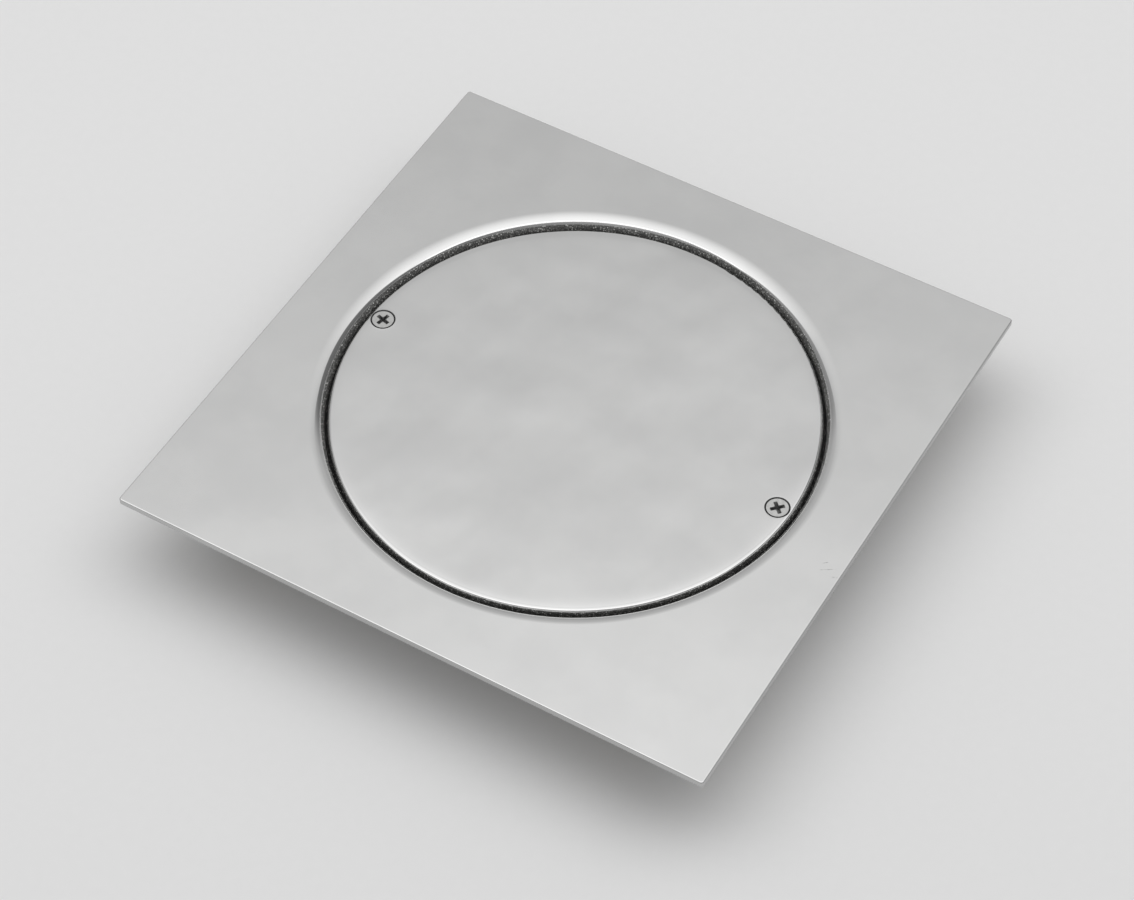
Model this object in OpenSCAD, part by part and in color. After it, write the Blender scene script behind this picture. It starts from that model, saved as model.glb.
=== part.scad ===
// Square floor drain top in stainless steel with a screwed, sealed round cover.
// Origin at the middle of the spigot's lower rim, +Z up, millimetres.

/* [Frame plate] */
// Side of the square plate
plate_w = 200; // [192:1:260]
// Sheet thickness of the plate and its pressed well
plate_t = 2; // [1.5:0.1:2.5]
// Radius of the plate's corners in plan
corner_r = 1; // [0.8:0.1:6]
// Polished round on the plate's top edge
edge_r = 0.5; // [0.2:0.05:0.7]
// Height of the plate's top face above the spigot's lower rim
plate_h = 30; // [26:1:60]

/* [Pressed well] */
// Outer bend radius of the lip, as far as the depth of the well allows it
lip_r = 5; // [3:0.1:7]
// Inner bend radius where the well wall turns into the seat
seat_bend_r = 1; // [0.5:0.1:1.5]
// Distance from the well wall to the outside of the spigot
spigot_inset = 12; // [12:0.5:20]

/* [Spigot] */
// Wall of the spigot tube
spigot_t = 1.5; // [1:0.1:3]
// Leg of the weld fillet under the seat
weld_leg = 1.2; // [0.6:0.1:1.5]
// Lead-in chamfer on the spigot's lower rim
spigot_chamfer = 0.5; // [0.2:0.1:0.8]

/* [Cover] */
// Diameter of the cover disc
cover_d = 152; // [130:1:160]
// Thickness of the cover disc
cover_t = 3; // [2.6:0.1:5]
// Round on the cover's top edge
cover_edge_r = 1.5; // [0.5:0.1:2]
// Depth of the cover's top face below the plate's top face
cover_drop = 2; // [0.5:0.1:4]
// Free gap between the cover's edge and the well wall
cover_gap = 1; // [0.5:0.1:2]

/* [Gasket] */
// Thickness of the rubber ring under the cover
gasket_t = 2; // [1.6:0.1:4]
// Distance from the spigot bore to the inner edge of the rubber ring
gasket_setback = 1; // [0.5:0.5:3]

/* [Screws and nuts] */
// Distance from the cover's edge to the centre of each screw
screw_inset = 4.9; // [4.8:0.1:5.6]
// Direction of the line through both screws
screw_line_turn = -1.35; // [-45:0.05:45]
// Turn of the cross recess in the right screw, from that line
right_recess_turn = -44; // [-45:1:45]
// Turn of the cross recess in the left screw, from that line
left_recess_turn = -14; // [-45:1:45]
// Thread diameter of the cover screws
screw_d = 4; // [3.5:0.5:4]
// Diameter of the countersunk head
head_d = 7.1; // [7:0.1:8]
// Depth of the head below the cover's top face
head_drop = 0.1; // [0:0.05:0.3]
// Length of each screw from head to tip
screw_len = 12; // [11:1:20]
// Width across flats of the nuts under the seat
nut_w = 7; // [6.5:0.5:7]
// Height of the nuts
nut_h = 3.2; // [2.4:0.1:4]

/* [Anchors] */
// Strip thickness of the mortar anchors
anchor_t = 1.5; // [1:0.1:2]
// Strip width of the mortar anchors
anchor_w = 16; // [10:1:20]
// Length of the foot that is welded under the plate
anchor_foot = 16; // [12:1:18]
// Depth of the anchor below the plate
anchor_drop = 18; // [14:1:22]
// Length of the toe that is turned outwards in the mortar
anchor_toe = 8; // [6:1:12]
// Inner bend radius of the anchor strip
anchor_bend_r = 1.5; // [1:0.1:2]
// Hole that keys the leg into the mortar
anchor_hole_d = 5; // [3:0.5:6]
// Distance from the start of the lip to the anchor's foot
anchor_setback = 10.4; // [4:0.1:12]

/* [Hidden] */
$fn = 96;

// Clearance of everything that is slipped together
fit = 0.05;
// Extra length of a cutter past the face it opens
over = 1;
// Flat ring by which the pressed well runs on into the plate
plate_lap = 2;

// Heights of the stack, from the plate downwards
plate_under_z = plate_h - plate_t;
cover_z = plate_h - cover_drop - cover_t;
seat_z = cover_z - gasket_t;
seat_under_z = seat_z - plate_t;

// The lip keeps a short straight wall between its bend and the seat's bend
well_wall_min = 0.5;
lip_bend_r = min(lip_r, plate_h - seat_z - seat_bend_r - well_wall_min);

// Radii, from the cover outwards and inwards
cover_r = cover_d / 2;
well_r = cover_r + cover_gap;
lip_start_r = well_r + lip_bend_r;
seat_bend_start_r = well_r - seat_bend_r;
spigot_r = well_r - spigot_inset;
spigot_bore_r = spigot_r - spigot_t;
screw_circle_r = cover_r - screw_inset;

// Screw head: a thin upright rim on a cone of 90 degrees
head_r = head_d / 2;
shank_r = screw_d / 2;
head_rim_h = 0.25;
head_cone_h = head_r - shank_r;
head_z = plate_h - cover_drop - head_drop;

// Cross recess in the head
recess_d = 4.6;
recess_floor_d = 1.8;
recess_depth = 1.9;
recess_arm_w = 1.1;
recess_flare = (recess_d - recess_floor_d) / recess_depth;

// Coarse thread, in as many turns as fit below the head
thread_pitch = 0.7;
thread_depth = 0.4;
thread_turns = floor((screw_len - head_rim_h - head_cone_h) / thread_pitch);

// Holes that the screws pass, and the corners of the nuts
screw_play = 0.25;
clear_hole_r = shank_r + screw_play;
nut_corner_r = nut_w / sqrt(3);
nut_chamfer = 0.4;

// Anchor legs stand on the plate's diagonals
anchor_leg_at = lip_start_r + anchor_setback + anchor_foot;
anchor_outer_bend_r = anchor_bend_r + anchor_t;

// One quarter of a bent sheet: the bend's centre is at the origin
module bend_2d(inner_r, sheet_t, start_angle) {
    rotate(start_angle)
        intersection() {
            difference() {
                circle(r = inner_r + sheet_t);
                circle(r = inner_r);
            }
            square(inner_r + sheet_t);
        }
}

// Both screw places, right and left, each with the turn of its recess
module at_screws(z) {
    for (side = [0, 1])
        rotate(screw_line_turn + 180 * side)
            translate([screw_circle_r, 0, z]) {
                $recess_turn = [right_recess_turn, left_recess_turn][side];
                children();
            }
}

// Material that the polished edge takes off, seen along the edge
module edge_cut_2d() {
    difference() {
        square(edge_r + over);
        circle(r = edge_r);
    }
}

// Square plate with rounded corners, a polished top edge and the well's hole
module plate_sheet() {
    straight = plate_w - 2 * corner_r;
    difference() {
        translate([0, 0, plate_under_z])
            linear_extrude(plate_t)
                difference() {
                    union() {
                        square([plate_w, straight], center = true);
                        square([straight, plate_w], center = true);
                        for (x = [-1, 1], y = [-1, 1])
                            translate([x, y] * straight / 2)
                                circle(r = corner_r);
                    }
                    circle(r = lip_start_r);
                }
        for (turn = [0:90:270])
            rotate(turn) {
                translate([plate_w / 2 - edge_r, 0, plate_h - edge_r])
                    rotate([90, 0, 0])
                        linear_extrude(straight, center = true)
                            edge_cut_2d();
                translate([straight / 2, straight / 2, plate_h - edge_r])
                    rotate_extrude(angle = 90)
                        translate([corner_r - edge_r, 0])
                            edge_cut_2d();
            }
    }
}

// Flat ring, lip, wall, lower bend and seat of the well as one run of sheet
module well_profile() {
    lip_z = plate_h - lip_bend_r;
    bend_z = seat_z + seat_bend_r;
    translate([lip_start_r, plate_under_z])
        square([plate_lap, plate_t]);
    translate([lip_start_r, lip_z])
        bend_2d(lip_bend_r - plate_t, plate_t, 90);
    translate([well_r, bend_z])
        square([plate_t, lip_z - bend_z]);
    translate([seat_bend_start_r, bend_z])
        bend_2d(seat_bend_r, plate_t, 270);
    translate([spigot_bore_r, seat_under_z])
        square([seat_bend_start_r - spigot_bore_r, plate_t]);
}

// Plate and well, pressed from one sheet
module frame_plate() {
    color("silver")
        difference() {
            union() {
                plate_sheet();
                rotate_extrude()
                    well_profile();
            }
            at_screws(seat_under_z - over)
                cylinder(h = plate_t + 2 * over, r = clear_hole_r);
        }
}

// Tube that plugs into the drain body, with its weld fillet under the seat
module spigot() {
    color("gray")
        difference() {
            union() {
                cylinder(h = spigot_chamfer, r1 = spigot_r - spigot_chamfer, r2 = spigot_r);
                translate([0, 0, spigot_chamfer])
                    cylinder(h = seat_under_z - spigot_chamfer, r = spigot_r);
                translate([0, 0, seat_under_z - weld_leg])
                    cylinder(h = weld_leg, r1 = spigot_r, r2 = spigot_r + weld_leg);
            }
            translate([0, 0, -over])
                cylinder(h = seat_under_z + 2 * over, r = spigot_bore_r);
        }
}

// One nut with its flats square to the spigot, its welded face on top
module seat_nut() {
    difference() {
        intersection() {
            rotate(30)
                cylinder(h = nut_h, r = nut_corner_r, $fn = 6);
            cylinder(
                h = nut_h,
                r1 = nut_corner_r - nut_chamfer,
                r2 = nut_corner_r - nut_chamfer + nut_h
            );
        }
        translate([0, 0, -over])
            cylinder(h = nut_h + 2 * over, r = shank_r + fit);
    }
}

// Pair of nuts welded under the seat
module seat_nuts() {
    color("darkgray")
        at_screws(seat_under_z - nut_h)
            seat_nut();
}

// Flat ring whose lower outer corner follows the well's lower bend
module gasket_profile() {
    rim_r = seat_bend_r - fit;
    inner_r = spigot_bore_r + gasket_setback;
    translate([inner_r, seat_z])
        square([seat_bend_start_r - inner_r, gasket_t]);
    translate([seat_bend_start_r, seat_z + seat_bend_r])
        square([rim_r, gasket_t - seat_bend_r]);
    translate([seat_bend_start_r, seat_z + seat_bend_r])
        rotate(270)
            intersection() {
                circle(r = rim_r);
                square(rim_r);
            }
}

// Rubber ring that the cover is pressed onto
module gasket() {
    color("dimgray")
        difference() {
            rotate_extrude()
                gasket_profile();
            at_screws(seat_z - over)
                cylinder(h = gasket_t + 2 * over, r = clear_hole_r);
        }
}

// Upper edge of the cover as a quarter round on a plain disc
module cover_profile() {
    flat_r = cover_r - cover_edge_r;
    square([flat_r, cover_t]);
    translate([flat_r, 0])
        square([cover_edge_r, cover_t - cover_edge_r]);
    translate([flat_r, cover_t - cover_edge_r])
        intersection() {
            circle(r = cover_edge_r);
            square(cover_edge_r);
        }
}

// Countersunk hole, measured from the head's top plane. Its plain cone leaves
// a narrow ring open round the upright rim of the head
module countersink() {
    bottom_r = shank_r + fit;
    bottom_z = -head_rim_h - head_cone_h;
    cone_h = head_drop + over - bottom_z;
    translate([0, 0, bottom_z])
        cylinder(h = cone_h, r1 = bottom_r, r2 = bottom_r + cone_h);
    translate([0, 0, -cover_t - over])
        cylinder(h = cover_t + over, r = clear_hole_r);
}

// Closed round cover
module cover() {
    color("lightgray")
        difference() {
            translate([0, 0, cover_z])
                rotate_extrude()
                    cover_profile();
            at_screws(head_z)
                countersink();
        }
}

// Half outline of the screw: head, threaded shank and pointed end
module screw_profile() {
    thread_z = -head_rim_h - head_cone_h;
    core_r = shank_r - thread_depth;
    polygon(concat(
        [[0, 0], [head_r, 0], [head_r, -head_rim_h], [shank_r, thread_z]],
        [for (i = [0:thread_turns - 1], half = [0.5, 1])
            [half == 1 ? shank_r : core_r, thread_z - (i + half) * thread_pitch]],
        [[core_r, -screw_len], [0, -screw_len]]
    ));
}

// Cross recess, cut down from the head's top plane
module cross_recess() {
    intersection() {
        translate([0, 0, -recess_depth])
            cylinder(
                h = recess_depth + over,
                d1 = recess_floor_d,
                d2 = recess_d + over * recess_flare
            );
        translate([0, 0, -recess_depth])
            linear_extrude(recess_depth + over) {
                square([2 * recess_d, recess_arm_w], center = true);
                square([recess_arm_w, 2 * recess_d], center = true);
            }
    }
}

// Countersunk screw, its recess left as it was tightened
module cover_screw() {
    difference() {
        rotate_extrude()
            screw_profile();
        rotate($recess_turn)
            cross_recess();
    }
}

// Pair of screws that hold the cover down
module cover_screws() {
    color("white")
        at_screws(head_z)
            cover_screw();
}

// Side view of one anchor strip: foot inwards, leg down, toe outwards
module anchor_profile() {
    foot_flat = anchor_foot - anchor_outer_bend_r;
    leg = anchor_drop - 2 * anchor_outer_bend_r;
    translate([-anchor_foot, -anchor_t])
        square([foot_flat, anchor_t]);
    translate([-anchor_outer_bend_r, -anchor_outer_bend_r])
        bend_2d(anchor_bend_r, anchor_t, 0);
    translate([-anchor_t, -anchor_outer_bend_r - leg])
        square([anchor_t, leg]);
    translate([anchor_bend_r, -anchor_outer_bend_r - leg])
        bend_2d(anchor_bend_r, anchor_t, 180);
    translate([anchor_bend_r, -anchor_drop])
        square([anchor_toe - anchor_bend_r, anchor_t]);
}

// Mortar anchor under one plate corner, x and y telling which one
module corner_anchor(x, y) {
    color("slategray")
        rotate(atan2(y, x))
            translate([anchor_leg_at, 0, plate_under_z])
                difference() {
                    rotate([90, 0, 0])
                        linear_extrude(anchor_w, center = true)
                            anchor_profile();
                    translate([0, 0, -anchor_drop / 2])
                        rotate([0, 90, 0])
                            cylinder(h = 4 * anchor_t, d = anchor_hole_d, center = true);
                }
}

module anchor_front_left() {
    corner_anchor(-1, -1);
}

module anchor_front_right() {
    corner_anchor(1, -1);
}

module anchor_back_left() {
    corner_anchor(-1, 1);
}

module anchor_back_right() {
    corner_anchor(1, 1);
}

frame_plate();
spigot();
seat_nuts();
gasket();
cover();
cover_screws();
anchor_front_left();
anchor_front_right();
anchor_back_left();
anchor_back_right();
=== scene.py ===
import math
import random

import bpy
import bmesh
from mathutils import Matrix, Vector


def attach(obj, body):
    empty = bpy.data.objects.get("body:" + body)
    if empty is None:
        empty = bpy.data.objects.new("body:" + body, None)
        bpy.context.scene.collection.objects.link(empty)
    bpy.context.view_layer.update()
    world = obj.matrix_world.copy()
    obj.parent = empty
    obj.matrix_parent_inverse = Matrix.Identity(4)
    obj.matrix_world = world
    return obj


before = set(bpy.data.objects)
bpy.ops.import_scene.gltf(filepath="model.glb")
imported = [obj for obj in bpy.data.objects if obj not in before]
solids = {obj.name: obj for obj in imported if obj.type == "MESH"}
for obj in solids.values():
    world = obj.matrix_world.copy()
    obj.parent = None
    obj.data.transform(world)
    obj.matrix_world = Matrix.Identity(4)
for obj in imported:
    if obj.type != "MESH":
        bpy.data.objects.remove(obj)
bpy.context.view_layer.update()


# Frame plate
# Square of 2 mm stainless sheet, its round lip, well and seat pressed in one
# stroke. The upper side is polished and a little wavy from the pressing; the
# underside keeps its dull mill finish, with heat colours where it was welded.

MM = 0.001
PLATE_TOP = 30.0
LIP_BEND_RADIUS = 5.0
LIP_START_RADIUS = 82.0
SCREW_PLACES = ((71.08, -1.68), (-71.08, 1.68))
SPIGOT_RADIUS = 65.0
ANCHOR_FOOT_AT = 71.0


def feed(tree, value, socket):
    """Links an output to a socket, or sets the socket's own value."""
    if isinstance(value, bpy.types.NodeSocket):
        tree.links.new(value, socket)
    else:
        socket.default_value = value


def put(tree, kind, inputs=None, **settings):
    """Adds one shader node, with its settings and the values of its sockets."""
    made = tree.nodes.new(kind)
    for name, value in settings.items():
        setattr(made, name, value)
    for name, value in (inputs or {}).items():
        feed(tree, value, made.inputs[name])
    return made


def calc(tree, operation, *values, clamp=False):
    """Math node: returns its output."""
    made = put(tree, "ShaderNodeMath", operation=operation, use_clamp=clamp)
    for index, value in enumerate(values):
        feed(tree, value, made.inputs[index])
    return made.outputs[0]


def product(tree, *factors):
    """Product of two or more values."""
    total = factors[0]
    for factor in factors[1:]:
        total = calc(tree, "MULTIPLY", total, factor)
    return total


def vector_calc(tree, operation, *values):
    """Vector math node: returns its vector, or its number where it has one."""
    made = put(tree, "ShaderNodeVectorMath", operation=operation)
    for index, value in enumerate(values):
        feed(tree, value, made.inputs[index])
    gives_number = operation in ("LENGTH", "DISTANCE", "DOT_PRODUCT")
    return made.outputs["Value" if gives_number else "Vector"]


def remap(tree, value, low, high, to_low=0.0, to_high=1.0):
    """Smooth step from one range to another."""
    made = put(tree, "ShaderNodeMapRange", interpolation_type="SMOOTHSTEP")
    for index, number in enumerate((value, low, high, to_low, to_high)):
        feed(tree, number, made.inputs[index])
    return made.outputs[0]


def blend(tree, factor, first, second, kind="RGBA"):
    """Mix of two colours, vectors or plain values: returns the mixed output."""
    start, end, result = {"FLOAT": (2, 3, 0), "VECTOR": (4, 5, 1), "RGBA": (6, 7, 2)}[kind]
    made = put(tree, "ShaderNodeMix", data_type=kind)
    feed(tree, factor, made.inputs[0])
    feed(tree, first, made.inputs[start])
    feed(tree, second, made.inputs[end])
    return made.outputs[result]


def colour_ramp(tree, factor, stops):
    """Row of colours over a factor from 0 to 1: returns the colour output."""
    ramp = put(tree, "ShaderNodeValToRGB", {"Fac": factor})
    marks = ramp.color_ramp.elements
    for mark, (at, colour) in zip(marks, (stops[0], stops[-1])):
        mark.position = at
        mark.color = (*colour, 1)
    for at, colour in stops[1:-1]:
        marks.new(at).color = (*colour, 1)
    return ramp.outputs[0]


def part_place(tree):
    """Place of a point on the part, in metres."""
    return put(tree, "ShaderNodeTexCoord").outputs["Object"]


def axes_of(tree, vector):
    """The X, Y and Z outputs of a vector."""
    return put(tree, "ShaderNodeSeparateXYZ", {"Vector": vector}).outputs


def noise(tree, place, scale, detail=2.0, roughness=0.5):
    """Cloudy noise from 0 to 1, with 0.5 as its middle."""
    made = put(tree, "ShaderNodeTexNoise", {
        "Vector": place, "Scale": scale, "Detail": detail, "Roughness": roughness})
    return made.outputs[0]


def bump(tree, height, distance, strength, normal=None):
    """Normal bent by a height."""
    made = put(tree, "ShaderNodeBump", {"Strength": strength, "Distance": distance, "Height": height})
    if normal is not None:
        feed(tree, normal, made.inputs["Normal"])
    return made.outputs[0]


def distance_from_axis(tree):
    """Distance of a point from the part's upright axis, in metres."""
    flat = vector_calc(tree, "MULTIPLY", part_place(tree), (1, 1, 0))
    return vector_calc(tree, "LENGTH", flat)


def distance_to_point(tree, point, mirrored=False):
    """Distance in plan to a point in millimetres, or to its four mirror images."""
    place = part_place(tree)
    if mirrored:
        place = vector_calc(tree, "ABSOLUTE", place)
    flat = vector_calc(tree, "MULTIPLY", place, (1, 1, 0))
    return vector_calc(tree, "DISTANCE", flat, (point[0] * MM, point[1] * MM, 0))


def new_group(name, inputs, outputs):
    """Empty shader node group with named sockets. Returns tree, inputs, outputs."""
    tree = bpy.data.node_groups.new(name, "ShaderNodeTree")
    kinds = {"value": "NodeSocketFloat", "vector": "NodeSocketVector", "colour": "NodeSocketColor"}
    for label, (kind, start) in inputs.items():
        socket = tree.interface.new_socket(label, in_out="INPUT", socket_type=kinds[kind])
        socket.default_value = start
    for label, kind in outputs.items():
        tree.interface.new_socket(label, in_out="OUTPUT", socket_type=kinds[kind])
    entry = tree.nodes.new("NodeGroupInput")
    leave = tree.nodes.new("NodeGroupOutput")
    return tree, entry.outputs, leave.inputs


def use_group(tree, group, **values):
    """Places a group in a material with this material's own values."""
    made = tree.nodes.new("ShaderNodeGroup")
    made.node_tree = group
    for name, value in values.items():
        feed(tree, value, made.inputs[name.replace("_", " ").capitalize()])
    return made.outputs


def in_metres(sizes):
    """Named sizes in millimetres, turned into metres."""
    return {name: size * MM for name, size in sizes.items()}


def new_material(name, colour, metallic, roughness, **shader_values):
    """Material with one Principled shader. Returns material, tree, shader."""
    material = bpy.data.materials.new(name)
    material.use_nodes = True
    tree = material.node_tree
    shader = tree.nodes["Principled BSDF"]
    shader.inputs["Base Color"].default_value = (*colour, 1)
    shader.inputs["Metallic"].default_value = metallic
    shader.inputs["Roughness"].default_value = roughness
    for label, value in shader_values.items():
        shader.inputs[label.replace("_", " ")].default_value = value
    return material, tree, shader


def dress(solid, material):
    """Gives a CAD solid its finish in every material slot it has."""
    for index in range(len(solid.data.materials)):
        solid.data.materials[index] = material


def build_sheet_waves():
    """Slow unevenness of rolled and pressed sheet: broad swells and soft streaks."""
    tree, given, out = new_group("sheet_waves", {
        "Swell size": ("value", 0.05),
        "Streak size": ("value", 0.03),
        "Streak turn": ("value", 0.0),
    }, {"Height": "value"})
    place = part_place(tree)
    swell = noise(tree, place, calc(tree, "DIVIDE", 1.0, given["Swell size"]), 1.5, 0.45)
    turn = put(tree, "ShaderNodeCombineXYZ", {"Z": given["Streak turn"]}).outputs[0]
    stretched = put(tree, "ShaderNodeMapping", {
        "Vector": place, "Rotation": turn, "Scale": (3.6, 1, 1)}, vector_type="TEXTURE").outputs[0]
    streak = noise(tree, stretched, calc(tree, "DIVIDE", 1.0, given["Streak size"]))
    feed(tree, calc(tree, "ADD", swell, product(tree, streak, 0.35)), out["Height"])
    return tree


def build_polish_haze():
    """Uneven polish: clouds of fine haze over a very fine grain."""
    tree, given, out = new_group("polish_haze", {
        "Cloud size": ("value", 0.02),
        "Grain size": ("value", 0.0006),
    }, {"Haze": "value", "Grain": "value"})
    place = part_place(tree)
    cloud = noise(tree, place, calc(tree, "DIVIDE", 1.0, given["Cloud size"]), 4.0, 0.55)
    grain = noise(tree, place, calc(tree, "DIVIDE", 1.0, given["Grain size"]))
    feed(tree, remap(tree, cloud, 0.3, 0.7), out["Haze"])
    feed(tree, grain, out["Grain"])
    return tree


def build_hairlines():
    """Short fine scratches in three directions, as a mask."""
    tree, given, out = new_group("hairlines", {
        "Length": ("value", 0.012),
        "Width": ("value", 0.00012),
        "Amount": ("value", 0.5),
    }, {"Mask": "value"})
    place = part_place(tree)
    sparse = calc(tree, "SUBTRACT", 0.86, product(tree, given["Amount"], 0.12))
    full = calc(tree, "ADD", sparse, 0.05)
    scale = put(tree, "ShaderNodeCombineXYZ", {
        "X": calc(tree, "DIVIDE", 1.0, given["Length"]),
        "Y": calc(tree, "DIVIDE", 1.0, given["Width"]),
        "Z": 40.0,
    }).outputs[0]
    total = 0.0
    for turn in (0.35, 1.45, 2.5):
        turned = put(tree, "ShaderNodeMapping", {"Vector": place, "Rotation": (0, 0, turn)}).outputs[0]
        stretched = vector_calc(tree, "MULTIPLY", turned, scale)
        line = remap(tree, noise(tree, stretched, 1.0, 0.0), sparse, full)
        total = calc(tree, "MAXIMUM", total, line)
    feed(tree, total, out["Mask"])
    return tree


def build_weld_heat():
    """Heat colours beside a weld, from straw over brown to blue, by distance."""
    tree, given, out = new_group("weld_heat", {
        "Distance": ("value", 0.01),
        "Reach": ("value", 0.008),
    }, {"Colour": "colour", "Mask": "value"})
    uneven = noise(tree, part_place(tree), 140.0, 3.0)
    wander = product(tree, calc(tree, "SUBTRACT", uneven, 0.5), 0.5)
    share = calc(tree, "DIVIDE", given["Distance"], given["Reach"])
    share = calc(tree, "ADD", share, wander, clamp=True)
    feed(tree, colour_ramp(tree, share, (
        (0.00, (0.30, 0.28, 0.27)),
        (0.22, (0.28, 0.32, 0.42)),
        (0.38, (0.38, 0.29, 0.36)),
        (0.55, (0.55, 0.41, 0.27)),
        (0.78, (0.68, 0.60, 0.44)),
        (1.00, (0.66, 0.65, 0.63)),
    )), out["Colour"])
    feed(tree, calc(tree, "SUBTRACT", 1.0, remap(tree, share, 0.6, 1.0)), out["Mask"])
    return tree


def build_gap_shade_and_deposit():
    """Painted shade below a height inside the gap, partly dark deposit, with bright grit in it."""
    tree, given, out = new_group("gap_shade_and_deposit", {
        "Height": ("value", 0.028),
        "Upper edge": ("value", 0.028),
        "Inner radius": ("value", 0.07),
        "Outer radius": ("value", 0.08),
    }, {"Mask": "value", "Grit": "value"})
    place = part_place(tree)
    ragged = noise(tree, place, 2200.0)
    wander = product(tree, calc(tree, "SUBTRACT", ragged, 0.5), 0.28 * MM)
    depth = calc(tree, "ADD", calc(tree, "SUBTRACT", given["Upper edge"], given["Height"]), wander)
    below = remap(tree, depth, -0.08 * MM, 0.22 * MM)
    radius = distance_from_axis(tree)
    past_inner = calc(tree, "GREATER_THAN", radius, given["Inner radius"])
    before_outer = calc(tree, "LESS_THAN", radius, given["Outer radius"])
    feed(tree, product(tree, below, past_inner, before_outer), out["Mask"])
    dots = put(tree, "ShaderNodeTexVoronoi", {"Vector": place, "Scale": 2000.0, "Randomness": 1.0}).outputs
    pick = put(tree, "ShaderNodeSeparateColor", {"Color": dots["Color"]}).outputs[0]
    round_dots = remap(tree, dots["Distance"], 0.30, 0.50, 1.0, 0.0)
    dotted = product(tree, round_dots, remap(tree, pick, 0.5, 0.9))
    ground = product(tree, remap(tree, ragged, 0.42, 0.72), 0.25)
    feed(tree, calc(tree, "MAXIMUM", dotted, ground), out["Grit"])
    return tree


def build_deep_scratch():
    """One short ragged scratch across a given spot."""
    tree, given, out = new_group("deep_scratch", {
        "Spot": ("vector", (0.0, 0.0, 0.0)),
        "Turn": ("value", 0.0),
        "Length": ("value", 0.004),
        "Width": ("value", 0.0001),
    }, {"Mask": "value"})
    place = part_place(tree)
    moved = vector_calc(tree, "SUBTRACT", place, given["Spot"])
    angle = put(tree, "ShaderNodeCombineXYZ", {"Z": given["Turn"]}).outputs[0]
    turned = put(tree, "ShaderNodeMapping", {"Vector": moved, "Rotation": angle}, vector_type="TEXTURE")
    axes = axes_of(tree, turned.outputs[0])
    ragged = noise(tree, place, 1300.0)
    bend = product(tree, calc(tree, "SUBTRACT", ragged, 0.5), 0.6 * MM)
    across = calc(tree, "ABSOLUTE", calc(tree, "ADD", axes["Y"], bend))
    narrow = calc(tree, "SUBTRACT", 1.0, calc(tree, "DIVIDE", across, given["Width"]), clamp=True)
    from_middle = calc(tree, "DIVIDE", calc(tree, "ABSOLUTE", axes["X"]), product(tree, given["Length"], 0.5))
    ends = remap(tree, calc(tree, "SUBTRACT", 1.0, from_middle, clamp=True), 0.0, 0.3)
    worn = remap(tree, ragged, 0.40, 0.55)
    feed(tree, product(tree, narrow, ends, worn), out["Mask"])
    return tree


def build_turned_corner():
    """True normal and height on a corner turned round the part's axis, elsewhere the mesh's.

    Side is 1 where the corner faces outwards and -1 where it faces the axis.
    """
    tree, given, out = new_group("turned_corner", {
        "Circle radius": ("value", 0.08),
        "Circle height": ("value", 0.025),
        "Corner radius": ("value", 0.005),
        "Lowest": ("value", 0.0),
        "Side": ("value", 1.0),
    }, {"Normal": "vector", "Height": "value"})
    mesh_dip = 0.25 * MM
    overlap = 0.3 * MM
    axes = axes_of(tree, part_place(tree))
    radius = distance_from_axis(tree)
    past = product(tree, given["Side"], calc(tree, "SUBTRACT", radius, given["Circle radius"]))
    outward = product(tree, given["Side"], calc(tree, "MAXIMUM", past, 0.0))
    upward = calc(tree, "MAXIMUM", calc(tree, "SUBTRACT", axes["Z"], given["Circle height"]), 0.0)
    squares = calc(tree, "ADD", product(tree, outward, outward), product(tree, upward, upward))
    length = calc(tree, "SQRT", squares)
    off = calc(tree, "ABSOLUTE", calc(tree, "SUBTRACT", length, given["Corner radius"]))
    near = product(
        tree,
        calc(tree, "LESS_THAN", off, mesh_dip),
        calc(tree, "GREATER_THAN", past, -overlap),
        calc(tree, "GREATER_THAN", axes["Z"], given["Lowest"]),
    )
    share = calc(tree, "DIVIDE", outward, radius)
    pointing = put(tree, "ShaderNodeCombineXYZ", {
        "X": product(tree, axes["X"], share),
        "Y": product(tree, axes["Y"], share),
        "Z": calc(tree, "ADD", upward, 0.001 * MM),
    }).outputs[0]
    placed = put(tree, "ShaderNodeVectorTransform", {"Vector": vector_calc(tree, "NORMALIZE", pointing)},
                 vector_type="NORMAL", convert_from="OBJECT", convert_to="WORLD").outputs[0]
    of_mesh = put(tree, "ShaderNodeNewGeometry").outputs["Normal"]
    feed(tree, blend(tree, near, of_mesh, placed, "VECTOR"), out["Normal"])
    rise = product(tree, given["Corner radius"], calc(tree, "DIVIDE", upward, length))
    true_height = calc(tree, "ADD", given["Circle height"], rise)
    feed(tree, blend(tree, near, axes["Z"], true_height, "FLOAT"), out["Height"])
    return tree


sheet_waves = build_sheet_waves()
polish_haze = build_polish_haze()
hairlines = build_hairlines()
weld_heat = build_weld_heat()
gap_shade_and_deposit = build_gap_shade_and_deposit()
deep_scratch = build_deep_scratch()
turned_corner = build_turned_corner()


def facing_down(tree):
    """1 on faces that look down, 0 on the others."""
    normal = put(tree, "ShaderNodeNewGeometry").outputs["True Normal"]
    return remap(tree, axes_of(tree, normal)["Z"], -0.25, -0.05, 1.0, 0.0)


def add_heat_colours(tree, colour, welds):
    """Lays the heat colours of each weld over a colour."""
    for distance, reach in (welds(tree) if welds else ()):
        heat = use_group(tree, weld_heat, distance=distance, reach=reach * MM)
        colour = blend(tree, heat["Mask"], colour, heat["Colour"])
    return colour


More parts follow.
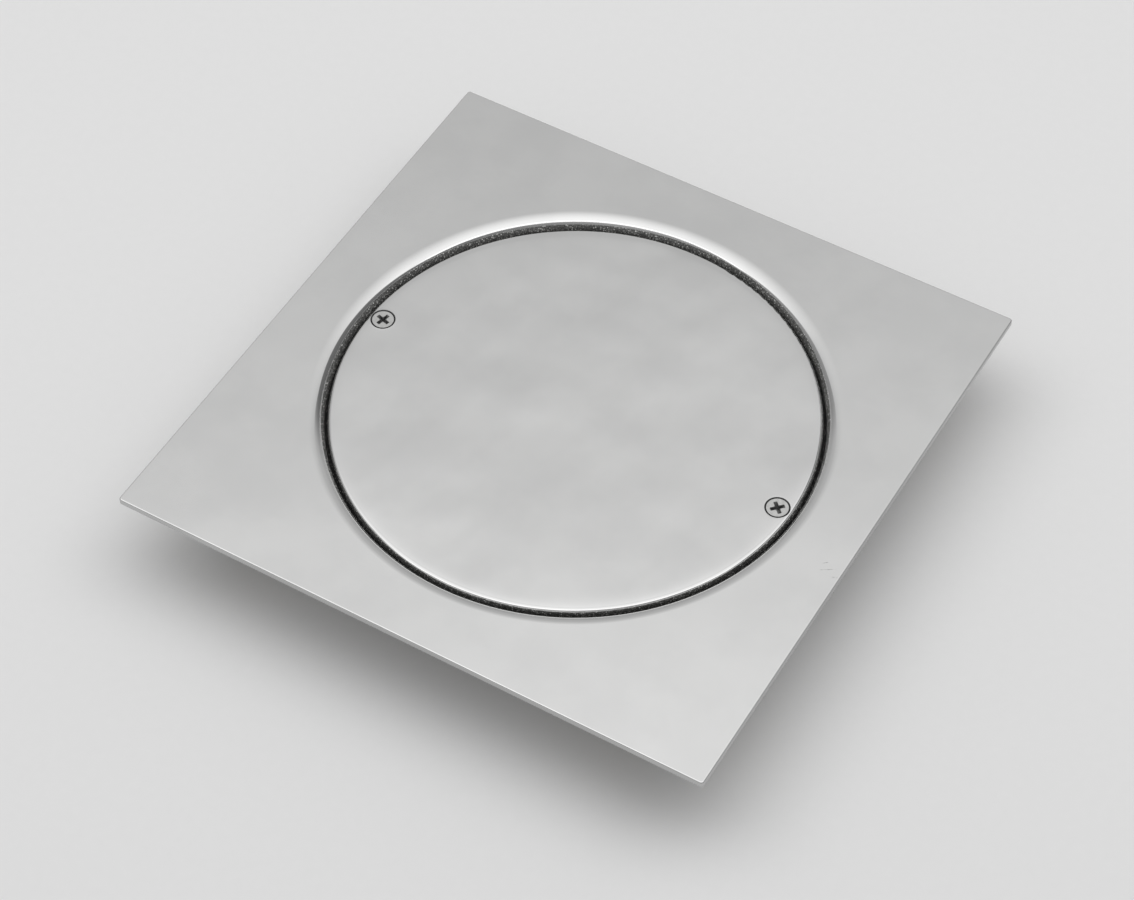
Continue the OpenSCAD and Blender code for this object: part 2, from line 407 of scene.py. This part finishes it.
def make_polished_sheet(name, swell_size, swell_depth, dark_gap_band, corner, side, drawn_rim,
                        welds=None, scratches=(), sink_radius=0.0, dishes=()):
    """Polished stainless sheet above, mill finish with heat colours below. Sizes in millimetres.

    The gap band sizes mark the band in the gap that is painted dark as shade,
    with deposit and grit in it; corner is the bend or round beside it, and
    drawn_rim the slow slope towards it, which runs inwards if its fade is
    negative. dishes are the slopes round the screws, and the countersink
    inside sink_radius is painted dark as shade.
    """
    material, tree, shader = new_material(name, (0.765, 0.765, 0.760), 1.0, 0.14)
    haze = use_group(tree, polish_haze, cloud_size=22 * MM, grain_size=0.7 * MM)
    lines = use_group(tree, hairlines, length=14 * MM, width=0.16 * MM, amount=0.35)
    waves = use_group(tree, sheet_waves, swell_size=swell_size * MM, streak_size=34 * MM, streak_turn=1.27)
    bent = use_group(tree, turned_corner, side=side, **in_metres(corner))
    gap_darkening = use_group(tree, gap_shade_and_deposit, height=bent["Height"], **in_metres(dark_gap_band))
    below = facing_down(tree)

    bright = blend(tree, haze["Haze"], (0.785, 0.785, 0.780, 1), (0.745, 0.745, 0.742, 1))
    marks = 0.0
    for (x, y), turn, length in scratches:
        mark = use_group(tree, deep_scratch, spot=(x * MM, y * MM, 0), turn=turn,
                         length=length * MM, width=0.16 * MM)
        marks = calc(tree, "MAXIMUM", marks, mark["Mask"])
    bright = blend(tree, product(tree, marks, 0.7), bright, (0.20, 0.20, 0.20, 1))
    # Painted shade: the gap below its upper edge and the countersink round each screw are painted dark and
    # not metallic, partly as deposit; the pale specks are grit
    dirt_and_shade = gap_darkening["Mask"]
    for place, dish in zip(SCREW_PLACES, dishes):
        sunk = calc(tree, "LESS_THAN", distance_to_point(tree, place), sink_radius * MM)
        dirt_and_shade = calc(tree, "MAXIMUM", dirt_and_shade, sunk)
    dirt_and_shade = product(tree, dirt_and_shade, calc(tree, "SUBTRACT", 1.0, below))
    deposit_and_shade = blend(tree, gap_darkening["Grit"], (0.065, 0.065, 0.063, 1), (0.70, 0.70, 0.68, 1))
    # On the cover the countersink round each screw is painted near black as shade
    if dishes:
        deposit_and_shade = blend(tree, gap_darkening["Mask"], (0.03, 0.03, 0.03, 1), deposit_and_shade)
    bright = blend(tree, dirt_and_shade, bright, deposit_and_shade)
    feed(tree, calc(tree, "SUBTRACT", 1.0, dirt_and_shade), shader.inputs["Metallic"])
    under = blend(tree, haze["Haze"], (0.60, 0.60, 0.59, 1), (0.54, 0.54, 0.53, 1))
    under = add_heat_colours(tree, under, welds)
    feed(tree, blend(tree, below, bright, under), shader.inputs["Base Color"])

    # The polished side is smoother than the mill finish and dull where the painted shade and deposit lie
    smooth = calc(tree, "ADD", 0.065, product(tree, haze["Haze"], 0.035))
    smooth = calc(tree, "ADD", smooth, product(tree, lines["Mask"], 0.08))
    smooth = calc(tree, "ADD", smooth, product(tree, dirt_and_shade, 0.45))
    rough = calc(tree, "ADD", 0.34, product(tree, haze["Haze"], 0.10))
    feed(tree, blend(tree, below, smooth, rough, "FLOAT"), shader.inputs["Roughness"])

    rise = product(tree, waves["Height"], swell_depth * MM)
    away = calc(tree, "SUBTRACT", distance_from_axis(tree), drawn_rim["radius"] * MM)
    ring = calc(tree, "EXPONENT", calc(tree, "DIVIDE", away, -drawn_rim["fade"] * MM))
    slope = product(tree, calc(tree, "MINIMUM", ring, 1.0), drawn_rim["height"] * MM)
    rise = calc(tree, "ADD", rise, slope)
    dish_fade = 0.35
    for place, dish in zip(SCREW_PLACES, dishes):
        away = calc(tree, "SUBTRACT", distance_to_point(tree, place), sink_radius * MM)
        ring = calc(tree, "EXPONENT", calc(tree, "DIVIDE", away, -dish_fade * MM))
        slope = product(tree, calc(tree, "MINIMUM", ring, 1.0), dish * MM)
        rise = calc(tree, "ADD", rise, slope)
    swell = bump(tree, rise, 1.0, 1.0, bent["Normal"])
    texture = calc(tree, "SUBTRACT", haze["Grain"], lines["Mask"])
    feed(tree, bump(tree, texture, 0.02 * MM, 0.12, swell), shader.inputs["Normal"])
    return material


SEAM_HEAT_REACH = 8.5
FOOT_HEAT_REACH = 19.0
NUT_HEAT_REACH = 9.5


def frame_welds(tree):
    """Where the frame's underside was heated: spigot seam, anchor feet and nuts."""
    seam = calc(tree, "ABSOLUTE", calc(tree, "SUBTRACT", distance_from_axis(tree), SPIGOT_RADIUS * MM))
    feet = distance_to_point(tree, (ANCHOR_FOOT_AT, ANCHOR_FOOT_AT), mirrored=True)
    nuts = [(distance_to_point(tree, place), NUT_HEAT_REACH) for place in SCREW_PLACES]
    return [(seam, SEAM_HEAT_REACH), (feet, FOOT_HEAT_REACH), *nuts]


# Place of each scratch at the right edge, its turn in radians and its length
EDGE_SCRATCHES = (
    ((95.5, -16.0), 0.55, 5.0),
    ((98.2, -17.6), 0.35, 2.6),
    ((93.6, -14.2), 0.75, 1.8),
)

dress(solids["frame_plate"], make_polished_sheet(
    "polished_frame_sheet",
    swell_size=55.0,
    swell_depth=0.7,
    # The well wall in the gap is painted dark as shade below 28.1 mm, with deposit and grit
    dark_gap_band={"upper_edge": 28.1, "inner_radius": 76.5, "outer_radius": 78.6},
    corner={
        "circle_radius": LIP_START_RADIUS,
        "circle_height": PLATE_TOP - LIP_BEND_RADIUS,
        "corner_radius": LIP_BEND_RADIUS,
        "lowest": 24.0,
    },
    side=-1.0,
    drawn_rim={"radius": LIP_START_RADIUS, "fade": 10.0, "height": 0.1},
    welds=frame_welds,
    scratches=EDGE_SCRATCHES))


# Spigot
# Strip rolled into a tube and welded all round to the underside of the seat.
# Mill finish, with heat colours below the seam and a rippled weld bead.

WELD_BEAD_LEG = 1.45
SEAT_UNDERSIDE = 21.0
TUBE_HEAT_REACH = 7.5


def build_rolled_grain():
    """Fine lines along the rolling direction, for strip and tube."""
    tree, given, out = new_group("rolled_grain", {
        "Stretch": ("vector", (1.0, 1.0, 1.0)),
        "Line size": ("value", 0.0005),
    }, {"Lines": "value", "Blotches": "value"})
    place = part_place(tree)
    stretched = vector_calc(tree, "MULTIPLY", place, given["Stretch"])
    fine = noise(tree, stretched, calc(tree, "DIVIDE", 1.0, given["Line size"]), 3.0)
    broad = noise(tree, place, 55.0, 4.0, 0.6)
    feed(tree, fine, out["Lines"])
    feed(tree, remap(tree, broad, 0.35, 0.68), out["Blotches"])
    return tree


rolled_grain = build_rolled_grain()


def make_mill_steel(name, light, dark, stretch, rough_low, rough_high, welds=None):
    """Unpolished rolled stainless, blotchy and finely lined."""
    material, tree, shader = new_material(name, light, 1.0, rough_low)
    grain = use_group(tree, rolled_grain, stretch=stretch, line_size=0.6 * MM)
    colour = blend(tree, grain["Blotches"], (*light, 1), (*dark, 1))
    feed(tree, add_heat_colours(tree, colour, welds), shader.inputs["Base Color"])
    mixed = calc(tree, "ADD", product(tree, grain["Blotches"], 0.6), product(tree, grain["Lines"], 0.4))
    feed(tree, remap(tree, mixed, 0.1, 0.9, rough_low, rough_high), shader.inputs["Roughness"])
    feed(tree, bump(tree, grain["Lines"], 0.04 * MM, 0.35), shader.inputs["Normal"])
    return material


def spigot_welds(tree):
    """Height below the seam, so that the heat colours run down the tube."""
    height = axes_of(tree, part_place(tree))["Z"]
    return [(calc(tree, "SUBTRACT", SEAT_UNDERSIDE * MM, height), TUBE_HEAT_REACH)]


dress(solids["spigot"], make_mill_steel(
    "mill_finish_tube",
    light=(0.66, 0.66, 0.65),
    dark=(0.57, 0.57, 0.56),
    stretch=(0.06, 0.06, 1.0),
    rough_low=0.26,
    rough_high=0.40,
    welds=spigot_welds))


def add_piece(name, bm, material, smooth_angle):
    """Turns a bmesh into a piece that rides with the part."""
    bmesh.ops.recalc_face_normals(bm, faces=bm.faces)
    mesh = bpy.data.meshes.new(name)
    bm.to_mesh(mesh)
    bm.free()
    for face in mesh.polygons:
        face.use_smooth = True
    mesh.set_sharp_from_angle(angle=math.radians(smooth_angle))
    mesh.materials.append(material)
    piece = bpy.data.objects.new(name, mesh)
    bpy.context.scene.collection.objects.link(piece)
    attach(piece, "root")


def make_weld_metal():
    """Solidified bead: bright, with a touch of heat colour left in the ripples."""
    material, tree, shader = new_material("weld_metal", (0.55, 0.54, 0.52), 1.0, 0.30)
    patches = noise(tree, part_place(tree), 420.0, 3.0)
    tone = remap(tree, patches, 0.35, 0.65)
    colour = blend(tree, tone, (0.60, 0.59, 0.57, 1), (0.43, 0.37, 0.31, 1))
    feed(tree, colour, shader.inputs["Base Color"])
    feed(tree, remap(tree, patches, 0.3, 0.7, 0.24, 0.42), shader.inputs["Roughness"])
    return material


weld_metal = make_weld_metal()
WELD_SMOOTH_ANGLE = 60


def build_ring_bead(radius, corner_z, leg, ripples, steps_per_ripple):
    """Fillet bead in the corner between a tube and the sheet above it."""
    bm = bmesh.new()
    count = ripples * steps_per_ripple
    face_steps = 6
    rings = []
    dice = random.Random(7)
    wobble = [dice.uniform(-0.07, 0.07) for _ in range(ripples)]
    for step in range(count):
        around = 2 * math.pi * step / count
        ripple, phase = divmod(step, steps_per_ripple)
        crest = abs(math.sin(math.pi * phase / steps_per_ripple))
        reach = leg * (0.90 + 0.10 * crest + wobble[ripple])
        section = []
        for share in range(face_steps + 1):
            angle = math.pi / 2 * share / face_steps
            inside = 0 < share < face_steps
            bulge = 0.80 + 0.06 * math.sin(2 * angle) + 0.05 * crest if inside else 1
            out = reach * math.cos(angle) * bulge
            down = reach * math.sin(angle) * bulge
            section.append((radius + out, corner_z - down))
        section.append((radius - 0.1, corner_z))
        rings.append([bm.verts.new((r * math.cos(around) * MM, r * math.sin(around) * MM, z * MM))
                      for r, z in section])
    sides = face_steps + 2
    for step in range(count):
        here, after = rings[step], rings[(step + 1) % count]
        for k in range(sides):
            bm.faces.new((here[k], after[k], after[(k + 1) % sides], here[(k + 1) % sides]))
    return bm


bead = build_ring_bead(SPIGOT_RADIUS, SEAT_UNDERSIDE, WELD_BEAD_LEG, ripples=250, steps_per_ripple=4)
add_piece("spigot_weld", bead, weld_metal, WELD_SMOOTH_ANGLE)


# Seat nuts
# Two M4 hexagon nuts under the seat, in line with the cover screws. Each is
# held by three small weld tacks at its upper corners.

NUT_CORNER = 4.04
NUT_TACK_LENGTH, NUT_TACK_WIDTH, NUT_TACK_HEIGHT = 1.15, 0.62, 0.5
NUT_TACK_DROP = 0.25


def make_fastener_steel(name, light, dark, rough, dirt_and_shade=None):
    """Cold-formed stainless: bright, faintly drawn, with painted shade in its hollows."""
    material, tree, shader = new_material(name, light, 1.0, rough)
    patches = noise(tree, part_place(tree), 900.0, 4.0, 0.6)
    tone = remap(tree, patches, 0.3, 0.7)
    # Painted shade: hollows found by occlusion are darkened towards 0.45 of the dark tone
    hollow = put(tree, "ShaderNodeAmbientOcclusion", {"Distance": 1.2 * MM}, samples=8, only_local=True)
    shade = remap(tree, hollow.outputs["AO"], 0.35, 0.95)
    colour = blend(tree, tone, (*light, 1), (*dark, 1))
    colour = blend(tree, shade, (*[0.45 * c for c in dark], 1), colour)
    # Where a mask is given, deposit and painted shade are near black and not metallic
    if dirt_and_shade:
        mask = dirt_and_shade(tree)
        colour = blend(tree, mask, colour, (0.03, 0.03, 0.03, 1))
        feed(tree, calc(tree, "SUBTRACT", 1.0, mask), shader.inputs["Metallic"])
    feed(tree, colour, shader.inputs["Base Color"])
    feed(tree, remap(tree, tone, 0.0, 1.0, rough, rough + 0.12), shader.inputs["Roughness"])
    feed(tree, bump(tree, patches, 0.02 * MM, 0.4), shader.inputs["Normal"])
    return material


dress(solids["seat_nuts"], make_fastener_steel(
    "nut_steel", light=(0.68, 0.68, 0.67), dark=(0.55, 0.55, 0.54), rough=0.26))


def add_tack(bm, centre, along, across, up, seed):
    """Small weld tack: an uneven drop with ripples along its length, from its three half axes."""
    dice = random.Random(seed)
    shift = dice.uniform(0, 6.28)
    made = bmesh.ops.create_icosphere(bm, subdivisions=3, radius=1.0)
    for vertex in made["verts"]:
        p = vertex.co
        ripple = 1 + 0.07 * math.cos(9 * p.x + shift)
        vertex.co = (centre + along * p.x + (across * p.y + up * p.z) * ripple) * MM


def cut_off_above(bm, height):
    """Cuts away what stands above a height, where the sheet is."""
    bmesh.ops.bisect_plane(
        bm, geom=bm.verts[:] + bm.edges[:] + bm.faces[:], dist=1e-9,
        plane_co=(0, 0, height * MM), plane_no=(0, 0, 1), clear_outer=True)


bm = bmesh.new()
for number, (x, y) in enumerate(SCREW_PLACES):
    facing = math.atan2(y, x)
    for third in range(3):
        angle = facing + math.radians(30 + 120 * third)
        outward = Vector((math.cos(angle), math.sin(angle), 0))
        sideways = Vector((-math.sin(angle), math.cos(angle), 0))
        corner = Vector((x, y, SEAT_UNDERSIDE - NUT_TACK_DROP)) + outward * NUT_CORNER
        add_tack(bm, corner, sideways * NUT_TACK_LENGTH, outward * NUT_TACK_WIDTH,
                 Vector((0, 0, NUT_TACK_HEIGHT)), 10 * number + third)
cut_off_above(bm, SEAT_UNDERSIDE)
add_piece("nut_tacks", bm, weld_metal, WELD_SMOOTH_ANGLE)


# Mortar anchors
# Four bent strips under the plate's corners, which the mortar grips. Dull
# rolled stainless, each foot tacked to the plate on both of its long sides.

PLATE_UNDERSIDE = 28.0
FOOT_FROM = 92.4
FOOT_WIDTH = 16.0
FOOT_TACKS_AT = (4.0, 10.5)
FOOT_TACK_LENGTH, FOOT_TACK_WIDTH, FOOT_TACK_HEIGHT = 2.3, 1.15, 1.0
FOOT_TACK_DROP = 0.3

strip_steel = make_mill_steel(
    "mill_finish_strip",
    light=(0.60, 0.60, 0.59),
    dark=(0.50, 0.50, 0.49),
    stretch=(1, 1, 0.05),
    rough_low=0.30,
    rough_high=0.46)

bm = bmesh.new()
anchors = ("anchor_back_right", "anchor_back_left", "anchor_front_left", "anchor_front_right")
for number, name in enumerate(anchors):
    dress(solids[name], strip_steel)
    turn = Matrix.Rotation(math.radians(45 + 90 * number), 3, "Z")
    for side in (-1, 1):
        for place in FOOT_TACKS_AT:
            centre = Vector((FOOT_FROM + place, side * FOOT_WIDTH / 2, PLATE_UNDERSIDE - FOOT_TACK_DROP))
            along = turn @ Vector((FOOT_TACK_LENGTH, 0, 0))
            across = turn @ Vector((0, FOOT_TACK_WIDTH, 0))
            add_tack(bm, turn @ centre, along, across, Vector((0, 0, FOOT_TACK_HEIGHT)),
                     100 + 10 * number + side)
cut_off_above(bm, PLATE_UNDERSIDE)
add_piece("anchor_tacks", bm, weld_metal, WELD_SMOOTH_ANGLE)


# Gasket
# Flat moulded ring of black rubber on the seat, squeezed by the cover. Fine
# grit and dust lie on what shows of it in the gap round the cover.

rubber, tree, shader = new_material(
    "black_rubber", (0.008, 0.008, 0.008), 0.0, 0.62, Specular_IOR_Level=0.18)
place = part_place(tree)
specks = put(tree, "ShaderNodeTexVoronoi", {"Vector": place, "Scale": 2600.0, "Randomness": 1.0}).outputs
pick = put(tree, "ShaderNodeSeparateColor", {"Color": specks["Color"]}).outputs[0]
chosen = calc(tree, "GREATER_THAN", pick, 0.80)
dust = product(tree, remap(tree, specks["Distance"], 0.25, 0.45, 1.0, 0.0), chosen)
dusty = blend(tree, dust, (0.006, 0.006, 0.006, 1), (0.20, 0.195, 0.18, 1))
feed(tree, dusty, shader.inputs["Base Color"])
mould = noise(tree, place, 1500.0, 3.0)
feed(tree, remap(tree, mould, 0.3, 0.7, 0.5, 0.75), shader.inputs["Roughness"])
feed(tree, bump(tree, mould, 0.06 * MM, 0.5), shader.inputs["Normal"])
dress(solids["gasket"], rubber)


# Cover
# Turned disc of 3 mm stainless plate with a rounded upper edge and two
# countersunk holes. Polished like the frame above, plain mill finish below.

COVER_RADIUS = 76.0
COVER_TOP = 28.0
COVER_EDGE_ROUND = 1.5

dress(solids["cover"], make_polished_sheet(
    "polished_cover_plate",
    swell_size=42.0,
    swell_depth=1.9,
    # The cover's edge in the gap is painted dark as shade below 27.4 mm, with deposit and grit
    dark_gap_band={"upper_edge": 27.4, "inner_radius": 75.3, "outer_radius": 76.5},
    corner={
        "circle_radius": COVER_RADIUS - COVER_EDGE_ROUND,
        "circle_height": COVER_TOP - COVER_EDGE_ROUND,
        "corner_radius": COVER_EDGE_ROUND,
        "lowest": 25.2,
    },
    side=1.0,
    drawn_rim={"radius": COVER_RADIUS - COVER_EDGE_ROUND, "fade": -1.6, "height": -0.25},
    # The countersink round each screw is painted near black as shade
    sink_radius=3.96,
    dishes=(-0.03, 0.04)))


# Cover screws
# Two M4 countersunk screws with cross recesses, pulled down flush with the
# cover. Bright stainless, with painted shade and dark deposit round the head and in its recess.

HEAD_EDGE = 3.40
RECESS_TURNS = (-44, -14)
RECESS_REACH, RECESS_HALF_ARM, RECESS_CORE = 2.25, 0.56, 1.0
DARKENING_REACH = 5.0


def screw_deposit_and_shade(tree):
    """Painted shade, with some deposit, on the rim of each head and on the worn edges of its recess."""
    total = 0.0
    for (x, y), turn in zip(SCREW_PLACES, RECESS_TURNS):
        local = put(tree, "ShaderNodeMapping", {
            "Vector": part_place(tree),
            "Location": (x * MM, y * MM, 0),
            "Rotation": (0, 0, math.radians(turn)),
        }, vector_type="TEXTURE").outputs[0]
        axes = axes_of(tree, local)
        to_side = calc(tree, "ABSOLUTE", axes["X"])
        to_front = calc(tree, "ABSOLUTE", axes["Y"])
        beside_arm = calc(tree, "MINIMUM", to_side, to_front)
        outward = distance_to_point(tree, (x, y))
        # Painted shade: the recess is darkened a little wider than its cut, and a thin ring at the head's rim
        arms = remap(tree, beside_arm, RECESS_HALF_ARM * MM, (RECESS_HALF_ARM + 0.18) * MM, 1.0, 0.0)
        core = remap(tree, outward, RECESS_CORE * MM, (RECESS_CORE + 0.35) * MM, 1.0, 0.0)
        reach = remap(tree, outward, RECESS_REACH * MM, (RECESS_REACH + 0.25) * MM, 0.75, 0.0)
        recess = product(tree, calc(tree, "MAXIMUM", arms, core), reach)
        rim = remap(tree, outward, (HEAD_EDGE - 0.06) * MM, (HEAD_EDGE + 0.06) * MM)
        close = calc(tree, "LESS_THAN", outward, DARKENING_REACH * MM)
        mask = product(tree, calc(tree, "MAXIMUM", recess, rim), close)
        total = calc(tree, "MAXIMUM", total, mask)
    return total


dress(solids["cover_screws"], make_fastener_steel(
    "screw_steel", light=(0.72, 0.72, 0.71), dark=(0.60, 0.60, 0.59), rough=0.20, dirt_and_shade=screw_deposit_and_shade))


# Studio
# Plain pale floor, one wide soft box overhead and a soft grey room that is
# brighter behind the part. The camera looks down on it at about 50 degrees.

floor_paint, tree, shader = new_material(
    "pale_floor", (0.80, 0.80, 0.80), 0.0, 0.9, Specular_IOR_Level=0.2)
paper = noise(tree, part_place(tree), 300.0, 3.0)
feed(tree, blend(tree, paper, (0.79, 0.79, 0.79, 1), (0.81, 0.81, 0.81, 1)), shader.inputs["Base Color"])
ray = put(tree, "ShaderNodeLightPath").outputs
from_axis = distance_from_axis(tree)


def blend_shaders(tree, factor, first, second):
    """Mix of two shaders: returns the shader output."""
    made = put(tree, "ShaderNodeMixShader", {"Fac": factor})
    tree.links.new(first, made.inputs[1])
    tree.links.new(second, made.inputs[2])
    return made.outputs[0]


# Far from the part the floor stays as pale as it is near it
distant = put(tree, "ShaderNodeEmission", {"Color": (0.75, 0.75, 0.75, 1)}).outputs[0]
far_off = product(tree, ray["Is Camera Ray"], remap(tree, from_axis, 0.40, 1.8))
seen = blend_shaders(tree, far_off, shader.outputs[0], distant)
# The steel mirrors a glowing floor with a painted shadow, darker under the part
shade = remap(tree, from_axis, 0.05, 0.18, 0.32, 0.52)
mirrored = put(tree, "ShaderNodeEmission", {"Color": (1, 1, 1, 1), "Strength": shade}).outputs[0]
seen = blend_shaders(tree, ray["Is Glossy Ray"], seen, mirrored)
# From below, the camera looks through the floor
clear = put(tree, "ShaderNodeBsdfTransparent").outputs[0]
from_below = put(tree, "ShaderNodeNewGeometry").outputs["Backfacing"]
seen = blend_shaders(tree, from_below, seen, clear)
tree.links.new(seen, tree.nodes["Material Output"].inputs["Surface"])

bpy.ops.mesh.primitive_circle_add(vertices=96, radius=12, fill_type="NGON")
floor = bpy.context.object
floor.name = "studio_floor"
floor.data.materials.append(floor_paint)

BACKWARD = Vector((-0.512, 0.859, 0.0))
RIGHTWARD = Vector((0.859, 0.512, 0.0))


def level_over(centre):
    """Matrix of a level panel at a place, with its sides along and across the view."""
    return Matrix.Translation(centre) @ Matrix((RIGHTWARD, BACKWARD, (0, 0, 1))).transposed().to_4x4()


def grey_ramp(tree, factor, tones):
    """Row of greys over a factor from 0 to 1."""
    return colour_ramp(tree, factor, [(at, (tone, tone, tone)) for at, tone in tones])


world = bpy.data.worlds.new("soft_room")
bpy.context.scene.world = world
world.use_nodes = True
tree = world.node_tree
background = tree.nodes["Background"]
direction = put(tree, "ShaderNodeTexCoord").outputs["Generated"]
height = axes_of(tree, direction)["Z"]
back_wall = grey_ramp(tree, height, ((0.0, 0.42), (0.34, 0.52), (0.64, 0.57), (0.77, 0.66), (1.0, 0.80)))
other_walls = grey_ramp(tree, height, ((0.0, 0.20), (0.40, 0.25), (0.64, 0.34), (0.80, 0.60), (1.0, 0.90)))
to_right = vector_calc(tree, "DOT_PRODUCT", direction, RIGHTWARD)
to_back = vector_calc(tree, "DOT_PRODUCT", direction, BACKWARD)
other_walls = put(tree, "ShaderNodeVectorMath", {
    0: other_walls, "Scale": remap(tree, to_right, -0.8, 0.8, 1.35, 0.70)}, operation="SCALE").outputs[0]
off_axis = calc(tree, "SUBTRACT", to_back, calc(tree, "ABSOLUTE", to_right))
room = blend(tree, remap(tree, off_axis, -0.22, 0.30), other_walls, back_wall)
ray = put(tree, "ShaderNodeLightPath").outputs
even = blend(tree, ray["Is Camera Ray"], (0.46, 0.46, 0.46, 1), (0.80, 0.80, 0.80, 1))
feed(tree, blend(tree, ray["Is Glossy Ray"], even, room), background.inputs["Color"])

PANEL_LEFT, PANEL_RIGHT = -1.08, 0.74
PANEL_FRONT, PANEL_BACK = -0.38, 0.62
PANEL_HEIGHT = 0.50
PANEL_TONES = (
    (0.0, 1.50), (0.125, 1.50), (0.17, 1.17), (0.23, 1.16), (0.31, 1.14), (0.38, 1.09),
    (0.46, 1.01), (0.55, 0.92), (0.63, 0.83), (0.73, 0.73), (0.85, 0.65), (1.0, 0.59),
)

diffuser_glow = bpy.data.materials.new("diffuser_glow")
diffuser_glow.use_nodes = True
tree = diffuser_glow.node_tree
tree.nodes.clear()
spot = axes_of(tree, part_place(tree))
depth = put(tree, "ShaderNodeMapRange", {"Value": spot["Y"], "From Min": PANEL_FRONT, "From Max": PANEL_BACK})
left_end = remap(tree, spot["X"], PANEL_LEFT, PANEL_LEFT + 0.25)
right_end = remap(tree, spot["X"], PANEL_RIGHT, PANEL_RIGHT - 0.12)
clear = put(tree, "ShaderNodeBsdfTransparent").outputs[0]
glow = put(tree, "ShaderNodeEmission", {"Color": grey_ramp(tree, depth.outputs[0], PANEL_TONES)}).outputs[0]
leave = put(tree, "ShaderNodeOutputMaterial")
tree.links.new(blend_shaders(tree, product(tree, left_end, right_end), clear, glow), leave.inputs["Surface"])

bm = bmesh.new()
corners = (
    (PANEL_LEFT, PANEL_FRONT), (PANEL_LEFT, PANEL_BACK),
    (PANEL_RIGHT, PANEL_BACK), (PANEL_RIGHT, PANEL_FRONT),
)
bm.faces.new([bm.verts.new((x, y, 0)) for x, y in corners])
mesh = bpy.data.meshes.new("overhead_diffuser")
bm.to_mesh(mesh)
bm.free()
mesh.materials.append(diffuser_glow)
diffuser = bpy.data.objects.new("overhead_diffuser", mesh)
bpy.context.scene.collection.objects.link(diffuser)
diffuser.matrix_world = level_over((0, 0, PANEL_HEIGHT))
diffuser.visible_camera = diffuser.visible_diffuse = diffuser.visible_shadow = False

SOFT_BOX_WIDE, SOFT_BOX_DEEP = 3.0, 1.2
SOFT_BOX_HEIGHT, SOFT_BOX_BACK = 1.4, 0.2
SOFT_BOX_GLOW = 1.4
lamp = bpy.data.lights.new("overhead_soft_box", "AREA")
lamp.shape = "RECTANGLE"
lamp.size = SOFT_BOX_WIDE
lamp.size_y = SOFT_BOX_DEEP
lamp.energy = math.pi * SOFT_BOX_WIDE * SOFT_BOX_DEEP * SOFT_BOX_GLOW
soft_box = bpy.data.objects.new("overhead_soft_box", lamp)
bpy.context.scene.collection.objects.link(soft_box)
soft_box.matrix_world = level_over(BACKWARD * SOFT_BOX_BACK + Vector((0, 0, SOFT_BOX_HEIGHT)))
soft_box.visible_glossy = soft_box.visible_camera = False

camera_data = bpy.data.cameras.new("camera")
camera_data.sensor_width = 36
camera_data.lens = 102.04
camera = bpy.data.objects.new("camera", camera_data)
bpy.context.scene.collection.objects.link(camera)
camera_place = Vector((0.319269, -0.540684, 0.787280))
across = Vector((0.86120152, 0.50825077, -0.0036185))
upward = Vector((-0.39361137, 0.67142207, 0.62790325))
forward = Vector((-0.32156186, 0.53932695, -0.77828299))
facing = Matrix((across, upward, -forward)).transposed().to_4x4()
camera.matrix_world = Matrix.Translation(camera_place) @ facing
bpy.context.scene.camera = camera
bpy.context.scene.view_settings.view_transform = "Standard"
